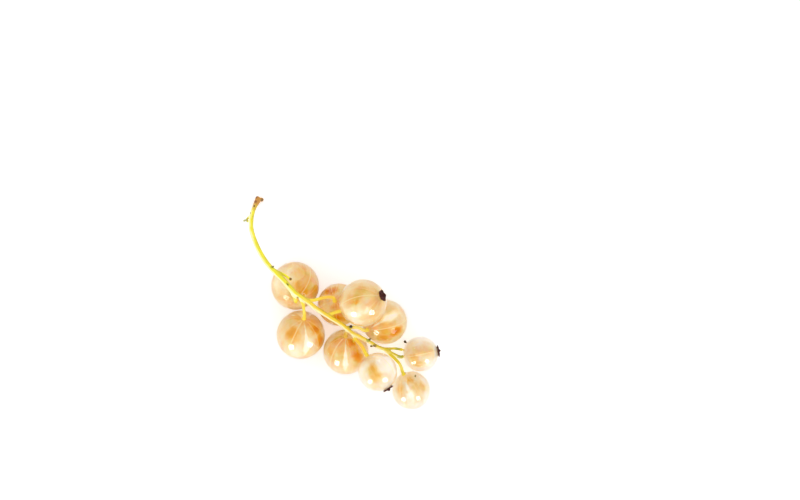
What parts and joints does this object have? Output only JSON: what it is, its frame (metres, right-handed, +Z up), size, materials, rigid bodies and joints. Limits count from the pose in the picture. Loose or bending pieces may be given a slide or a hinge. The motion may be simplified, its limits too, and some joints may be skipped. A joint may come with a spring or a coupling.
{
  "type": "sprig of currants",
  "caption": "Sprig of ripe pale currants: translucent amber-white berries with dry brown calyxes, on short stalks from one bent yellow-green stem, lying on a surface.",
  "frame": {"origin": "on the surface that the sprig lies on, under the middle of its outline seen from above", "axes": "+Z up from the surface; +Y along the longest side of the outline, towards the stem's cut end; +X to the right seen from above"},
  "size_m": [0.0438, 0.0471, 0.0191],
  "materials": {
    "stem": "yellow-green plant stalk, satin, with brown nodes and a brown cut end",
    "berry_amber": "thin glossy translucent skin over amber jelly, with pale veins from pole to pole",
    "berry_pale": "thin glossy translucent skin over nearly white jelly, with pale veins from pole to pole",
    "calyx": "dry, crumpled, dark brown flower remains"
  },
  "bodies": {
    "root": {"stem": "stem", "berry_1": "berry_amber", "berry_2": "berry_amber", "berry_3": "berry_amber", "berry_4": "berry_amber", "berry_5": "berry_amber", "berry_6": "berry_amber", "berry_7": "berry_pale", "berry_8": "berry_pale", "berry_9": "berry_pale", "calyx_1": "calyx", "calyx_2": "calyx", "calyx_3": "calyx", "calyx_4": "calyx", "calyx_5": "calyx", "calyx_6": "calyx", "calyx_7": "calyx", "calyx_8": "calyx", "calyx_9": "calyx"}
  },
  "joints": []
}
